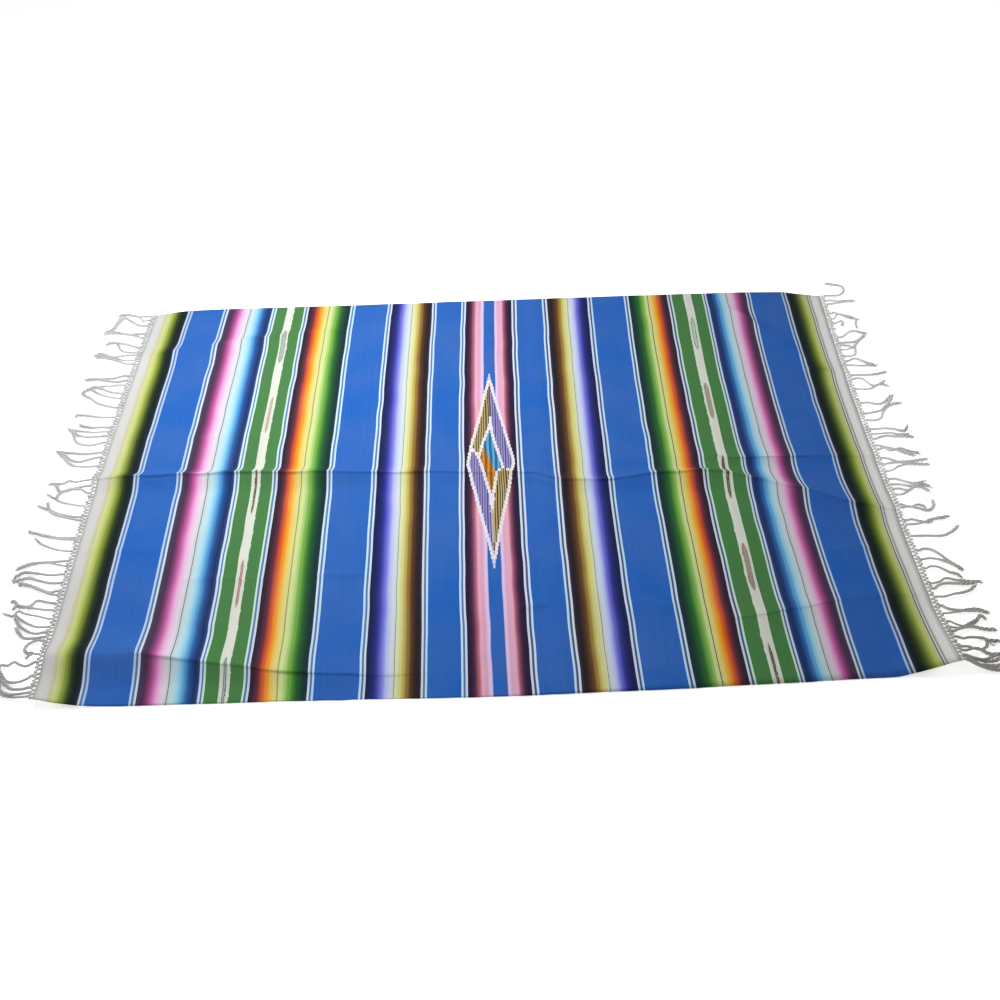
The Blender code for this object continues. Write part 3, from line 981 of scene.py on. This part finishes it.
def knottedRow(side):
    dice = np.random.default_rng(knotRow["seed"] + side)
    edge = rowsAcross(clothShape["leftEnd" if side < 0 else "rightEnd"])
    basket = Basket()
    yarn = knotRow["yarn"]
    count = int((edge[-1] - edge[0]) / knotRow["spacing"])
    first, second = knotRow["firstUneven"], knotRow["secondUneven"]
    firstRow = np.linspace(edge[0] + 0.004, edge[-1] - 0.004, count) + dice.normal(0, first, count)
    secondRow = (firstRow[:-1] + firstRow[1:]) / 2 + dice.normal(0, second, count - 1)
    firstOut = knotRow["firstKnot"] + dice.normal(0, first, count)
    secondOut = knotRow["secondKnot"] + dice.normal(0, second, count - 1)

    def cord(startOut, startAcross, stopOut, stopAcross, thick):
        share = np.linspace(0, 1, 5)
        out = startOut + (stopOut - startOut) * share
        across = startAcross + (stopAcross - startAcross) * share
        across = across + np.sin(share * np.pi) * dice.normal(0, first)
        path = endPoint(side, out, across)
        path[:, 2] += thick + knotRow["cordRise"] + np.sin(share * np.pi) * dice.uniform(0, 0.0008)
        basket.tube(path, np.full(5, thick), 5, dice.uniform(0, 5))

    for across, out in zip(firstRow, firstOut):
        for step in (-knotRow["warpGap"], knotRow["warpGap"]):
            cord(knotRow["seam"], across + step, out, across + step * 0.2, yarn * 0.8)
    for index, (across, out) in enumerate(zip(secondRow, secondOut)):
        cord(firstOut[index], firstRow[index], out, across, yarn)
        cord(firstOut[index + 1], firstRow[index + 1], out, across, yarn)
    for across, out in list(zip(firstRow, firstOut)) + list(zip(secondRow, secondOut)):
        middle = endPoint(side, out, across)
        middle[2] += knotRow["knotRise"]
        size = dice.uniform(0.85, 1.2)
        for turned in (0.0, 1.2):
            basket.ring(middle, knotRow["knotRadius"] * size, knotRow["knotYarn"] * size,
                        dice.uniform(0.1, 1.1), dice.uniform(0, 3.1) + turned)
    print("knotted row", side, "has", 2 * count - 1, "knots")
    return basket


# the fringe: each strand leaves its knot and follows its own way over the ground

fringe = {
    "plies": 3, "ply": 0.00185, "plyOffset": 0.00175, "twistLength": 0.016, "spacing": 0.0030,
    "opensFrom": 0.35, "opensTo": 1.7,  # the share of its length where a twist opens, and how far
    "reachBack": 0.0045, "straight": 0.004,  # a strand starts inside the knots and leaves them square
    "liftStep": 0.0011, "ripple": 0.0008, "wander": 0.0010,
    "looseEnds": 8, "looseYarn": 0.0006, "looseDrift": 0.0062, "seed": 61,
}

# each strand by where it leaves the knots, then its route (out from the knots, across), all in mm
leftStrands = [
    (672, [(40, 676), (84, 682), (92, 652), (100, 614), (122, 597)]),
    (655, [(15, 650), (30, 668), (60, 682), (103, 681)]),
    (628, [(25, 630), (50, 650), (74, 666), (86, 640), (94, 608)]),
    (590, [(40, 590), (80, 597), (122, 594)]),
    (572, [(20, 580), (60, 592), (98, 603), (114, 598)]),
    (526, [(30, 537), (60, 546), (85, 548), (95, 541), (98, 532)]),
    (500, [(28, 506), (45, 513), (56, 528), (66, 546)]),
    (487, [(30, 488), (60, 484), (90, 496), (118, 502)]),
    (462, [(30, 466), (60, 480), (95, 490), (122, 489)]),
    (447, [(20, 452), (50, 470), (90, 484), (116, 482)]),
    (398, [(12, 398), (40, 390), (80, 388), (122, 384)]),
    (378, [(30, 372), (70, 383), (112, 389)]),
    (360, [(40, 358), (75, 355), (95, 345), (112, 331)]),
    (325, [(30, 330), (60, 345), (84, 352), (100, 340), (113, 320)]),
    (303, [(30, 308), (60, 322), (85, 338), (101, 346)]),
    (265, [(20, 270), (55, 285), (80, 305), (104, 321), (116, 331)]),
    (225, [(30, 226), (60, 232), (90, 237), (102, 234), (104, 226)]),
    (184, [(30, 184), (60, 186), (86, 198)]),
    (168, [(40, 168), (80, 175), (119, 187)]),
    (152, [(40, 149), (75, 156), (95, 171), (113, 183)]),
    (126, [(20, 118), (50, 117), (75, 130), (88, 155), (101, 179)]),
    (88, [(40, 86), (80, 90), (122, 96)]),
    (70, [(20, 66), (45, 55), (70, 61), (90, 78), (112, 91)]),
    (38, [(30, 36), (60, 40), (80, 55), (95, 72), (113, 89)]),
    (-18, [(40, -18), (60, -13), (75, -22), (116, -22)]),
    (-36, [(30, -40), (55, -49), (73, -51), (82, -38), (96, -26)]),
    (-58, [(20, -48), (50, -46), (69, -58), (77, -79)]),
    (-104, [(30, -98), (60, -88), (85, -72), (108, -55)]),
    (-142, [(30, -137), (60, -127), (90, -112), (122, -97)]),
    (-152, [(40, -142), (70, -129), (86, -108), (98, -80)]),
    (-210, [(40, -208), (80, -198), (121, -184)]),
    (-216, [(40, -212), (82, -200), (118, -188)]),
    (-254, [(30, -250), (60, -238), (84, -222), (95, -205)]),
    (-284, [(40, -286), (80, -288), (106, -299), (119, -313)]),
    (-300, [(20, -296), (50, -287), (80, -292), (111, -307)]),
    (-326, [(30, -328), (60, -322), (90, -318), (108, -329), (117, -343)]),
    (-352, [(30, -350), (60, -340), (80, -334), (104, -342), (121, -351)]),
    (-376, [(20, -380), (50, -366), (75, -356), (101, -350)]),
    (-388, [(20, -384), (45, -372), (70, -360), (96, -357)]),
    (-412, [(20, -408), (43, -403), (56, -418), (80, -420), (95, -403), (104, -408)]),
    (-432, [(25, -430), (55, -424), (84, -418), (93, -431)]),
    (-458, [(30, -450), (60, -442), (78, -434), (88, -448), (102, -444), (118, -440)]),
    (-482, [(25, -480), (50, -468), (75, -452), (87, -438)]),
    (-498, [(25, -500), (50, -488), (70, -470), (84, -448)]),
    (-512, [(20, -515), (45, -512), (61, -498), (76, -476)]),
    (-522, [(10, -520), (26, -524), (38, -540), (28, -556), (10, -557)]),
    (-564, [(12, -560), (25, -566), (29, -574)]),
    (-585, [(20, -592), (40, -584), (52, -576), (66, -585), (80, -584), (84, -602), (77, -626), (64, -648)]),
    (-618, [(10, -624), (30, -630), (55, -627), (70, -614), (81, -597)]),
    (-650, [(15, -652), (40, -648), (58, -636), (76, -620)]),
    (-664, [(20, -664), (45, -662), (62, -652), (72, -638), (78, -612)]),
    (-674, [(20, -672), (42, -667), (60, -660), (68, -650)]),
]

rightStrands = [
    (664, [(20, 664), (42, 667), (57, 681), (62, 699), (52, 714), (30, 720), (4, 726)]),
    (640, [(12, 640), (30, 634), (55, 636), (86, 631)]),
    (622, [(30, 624), (55, 632), (82, 628)]),
    (578, [(10, 583), (25, 571), (45, 556), (62, 551), (80, 545)]),
    (552, [(8, 557), (20, 573), (40, 566), (58, 556), (66, 543), (61, 520), (62, 498)]),
    (530, [(12, 534), (25, 538), (22, 522), (16, 508)]),
    (465, [(15, 470), (34, 488), (50, 492), (70, 482), (87, 476)]),
    (440, [(20, 440), (40, 441), (60, 455), (82, 474)]),
    (428, [(20, 424), (33, 417), (46, 436), (72, 466)]),
    (410, [(18, 411), (34, 420), (38, 434)]),
    (380, [(15, 378), (29, 385), (34, 402), (36, 420)]),
    (358, [(20, 366), (35, 362), (54, 346), (76, 337)]),
    (340, [(40, 338), (86, 335)]),
    (296, [(40, 296), (70, 298), (101, 306)]),
    (280, [(12, 283), (28, 278), (39, 258), (56, 250), (78, 262), (89, 271)]),
    (240, [(20, 238), (40, 240), (64, 256), (84, 250), (92, 239)]),
    (182, [(20, 183), (40, 176), (60, 181), (79, 200), (95, 213)]),
    (140, [(20, 142), (45, 150), (70, 176), (89, 206)]),
    (114, [(20, 113), (38, 122), (50, 146), (75, 171), (109, 180)]),
    (80, [(40, 80), (60, 77), (76, 69), (90, 72), (99, 92)]),
    (60, [(20, 60), (45, 62), (70, 54), (101, 52)]),
    (42, [(15, 48), (35, 54), (60, 50), (106, 46)]),
    (16, [(15, 12), (40, 2), (60, -12), (91, -27)]),
    (2, [(15, 7), (30, -4), (54, 3), (78, -11), (102, -18)]),
    (-30, [(15, -32), (40, -42), (75, -42), (116, -36)]),
    (-50, [(25, -47), (55, -48), (80, -54), (118, -61)]),
    (-76, [(15, -74), (35, -62), (65, -54), (96, -58)]),
    (-104, [(15, -104), (40, -116), (60, -122), (91, -113)]),
    (-124, [(20, -124), (45, -132), (70, -128), (99, -136)]),
    (-140, [(15, -140), (35, -147), (55, -134), (74, -140), (88, -159)]),
    (-160, [(15, -159), (32, -149), (50, -132), (62, -116)]),
    (-196, [(22, -204), (42, -196), (55, -200), (60, -212)]),
    (-207, [(15, -203), (40, -208), (60, -216), (75, -208), (82, -192), (80, -175)]),
    (-245, [(15, -242), (35, -248), (55, -252), (70, -242), (101, -238)]),
    (-258, [(25, -257), (45, -252), (62, -243), (116, -236)]),
    (-295, [(30, -296), (70, -298), (95, -288), (111, -276), (123, -263)]),
    (-340, [(12, -336), (28, -337), (46, -352), (61, -374), (79, -397), (91, -413)]),
    (-368, [(20, -366), (40, -370), (60, -380), (86, -403)]),
    (-395, [(12, -391), (30, -394), (50, -409), (67, -418), (75, -435)]),
    (-440, [(20, -436), (38, -426), (60, -432), (90, -438), (123, -440)]),
    (-455, [(12, -448), (30, -442), (60, -443), (85, -445), (106, -440)]),
    (-480, [(20, -480), (40, -474), (65, -470), (85, -461), (101, -445)]),
    (-505, [(12, -513), (30, -518), (60, -520), (90, -524), (102, -533)]),
    (-528, [(12, -527), (35, -524), (65, -517), (93, -522)]),
    (-552, [(12, -559), (28, -566), (50, -556), (70, -545), (81, -534)]),
    (-570, [(20, -570), (45, -563), (65, -551), (78, -536), (89, -549)]),
    (-580, [(20, -572), (50, -566), (75, -574), (103, -577)]),
    (-598, [(15, -602), (35, -597), (60, -598), (75, -606), (103, -608)]),
    (-626, [(20, -624), (45, -628), (62, -620), (71, -604), (82, -619)]),
    (-638, [(15, -634), (40, -626), (60, -640), (86, -645)]),
    (-652, [(20, -656), (45, -656), (70, -646), (87, -638)]),
    (-654, [(20, -658), (45, -660), (74, -655), (87, -641)]),
    (-660, [(15, -666), (34, -676), (54, -680), (64, -668)]),
    (-663, [(18, -669), (40, -674), (62, -675), (82, -668)]),
    (-666, [(20, -672), (45, -669), (70, -670), (86, -661)]),
    (-668, [(18, -674), (42, -680), (66, -682), (84, -676)]),
]


def fringeStrands(side, strands):
    dice = np.random.default_rng(fringe["seed"] + side)
    basket = Basket()
    start = knotRow["width"] + 2 * knotRow["seam"]
    for index, (root, route) in enumerate(strands):
        points = [(start - fringe["reachBack"], root * mm), (start + fringe["straight"], root * mm)]
        points += [(start + out * mm, across * mm) for out, across in route]
        flat = curveThrough(points, fringe["spacing"])
        share = np.linspace(0, 1, len(flat))
        flat[:, 1] += fringe["wander"] * slowWaves(flat[:, 0], index, 0.014, 71) * share
        path = endPoint(side, flat[:, 0], flat[:, 1])
        lift = (index % 3) * fringe["liftStep"] * np.minimum(share * 3, 1)
        ripple = fringe["ripple"] * (1 + slowWaves(flat[:, 0], index, 0.02, 72))
        # the twist opens towards the tip, and the strand grows fuller
        opened = 1 + (fringe["opensTo"] - 1) * np.clip((share - fringe["opensFrom"]) / 0.5, 0, 1) ** 1.3
        path[:, 2] += fringe["ply"] + fringe["plyOffset"] * 0.8 * opened + lift + ripple
        length = np.concatenate([[0], np.cumsum(np.linalg.norm(np.diff(path, axis=0), axis=1))])
        step = np.gradient(path, axis=0)
        ahead = step / np.linalg.norm(step, axis=1)[:, None]
        sideways = np.cross(ahead, (0, 0, 1.0))
        upward = np.cross(sideways, ahead)
        thick = dice.uniform(0.86, 1.16)
        turning = np.cumsum(np.gradient(length) / fringe["twistLength"] * 2 * np.pi / opened ** 1.5)
        turning = turning + dice.uniform(0, 6)
        for ply in range(fringe["plies"]):
            angle = turning + ply * 2 * np.pi / fringe["plies"]
            ring = np.cos(angle)[:, None] * sideways + 0.7 * np.sin(angle)[:, None] * upward
            frayed = 1 + 0.25 * slowWaves(length, ply + index * 1.7, 0.012, 73) * share
            offset = fringe["plyOffset"] * thick * opened * frayed
            stop = len(path) - dice.integers(0, 4)
            end = np.clip((length[stop - 1] - length) / 0.004, 0, 1) ** 0.5
            radius = fringe["ply"] * thick * (0.45 + 0.55 * end)
            basket.tube((path + ring * offset[:, None])[:stop], radius[:stop], 6, dice.uniform(0, 5))
        # loose fibres that have worked out of the twist
        for fibre in range(fringe["looseEnds"]):
            lowest = int(len(path) * 0.3)
            first = dice.integers(lowest, max(len(path) - 6, lowest + 1))
            count = min(dice.integers(5, 12), len(path) - first)
            away = np.linspace(0, 1, count)
            drift = dice.uniform(-fringe["looseDrift"], fringe["looseDrift"]) * away ** 1.4
            drift = drift + dice.normal(0, 0.0010) * np.sin(away * 6)
            hair = path[first:first + count] + sideways[first:first + count] * drift[:, None]
            hair = hair + ahead[first:first + count] * (dice.uniform(0, 0.005) * away ** 2)[:, None]
            hair[:, 2] += 0.0012 * np.sin(away * 3) - 0.0006
            hair[:, 2] = np.maximum(hair[:, 2], 0.0007)  # none goes under the ground
            basket.tube(hair, fringe["looseYarn"] * (1.15 - 0.6 * away), 4, dice.uniform(0, 5))
    return basket


knotYarn = cordFinish("knottedWarp", dye(222, 222, 220), dye(176, 175, 173), dye(142, 144, 146),
                      dye(160, 157, 150))
fringeYarn = cordFinish("fringeYarn", dye(220, 220, 218), dye(170, 169, 167), dye(146, 149, 151),
                        dye(140, 136, 127))

for side, word, strands in ((-1, "Left", leftStrands), (1, "Right", rightStrands)):
    name = "knotRow" + word
    knots = knottedRow(side).mesh(name)
    addPiece(name, knots, knotYarn, "knot_row_" + word.lower())
    name = "fringe" + word
    twists = fringeStrands(side, strands).mesh(name)
    addPiece(name, twists, fringeYarn, "fringe_" + word.lower())


# pale floor and soft light

studio = {
    "floorSize": 40.0,
    "floorColour": (0.93, 0.93, 0.93, 1.0),
    "sky": (1.0, 1.0, 1.0, 1.0),
    "floorGlow": 0.56,  # the floor gives some light itself, so that shadows stay faint
    "skyStrength": 0.48,
    "keyFrom": (-0.60, 0.48, 1.5), "keyTowards": (-0.30, 0.10, 0.0), "keyPower": 36.5, "keySize": 0.8,
}


def layFloor():
    half = studio["floorSize"] / 2
    mesh = bpy.data.meshes.new("floor")
    corners = [(-half, -half, 0), (half, -half, 0), (half, half, 0), (-half, half, 0)]
    mesh.from_pydata(corners, [], [(0, 1, 2, 3)])
    floor = bpy.data.objects.new("floor", mesh)
    floor.location.z = -0.0005
    material, _, shader = newFinish("paleFloor", roughness=0.9, sheen=0.0, specular=0.1)
    shader.inputs["Base Color"].default_value = studio["floorColour"]
    shader.inputs["Emission Color"].default_value = studio["floorColour"]
    shader.inputs["Emission Strength"].default_value = studio["floorGlow"]
    mesh.materials.append(material)
    bpy.context.scene.collection.objects.link(floor)


def lightStudio():
    world = bpy.data.worlds.new("softSky")
    world.use_nodes = True
    background = world.node_tree.nodes["Background"]
    background.inputs["Color"].default_value = studio["sky"]
    background.inputs["Strength"].default_value = studio["skyStrength"]
    bpy.context.scene.world = world
    key = bpy.data.objects.new("key", bpy.data.lights.new("key", "AREA"))
    key.data.energy = studio["keyPower"]
    key.data.size = studio["keySize"]
    key.location = Vector(studio["keyFrom"])
    aim = Vector(studio["keyTowards"]) - key.location
    key.rotation_euler = aim.to_track_quat("-Z", "Y").to_euler()
    bpy.context.scene.collection.objects.link(key)
    bpy.context.scene.view_settings.view_transform = "Standard"


layFloor()
lightStudio()
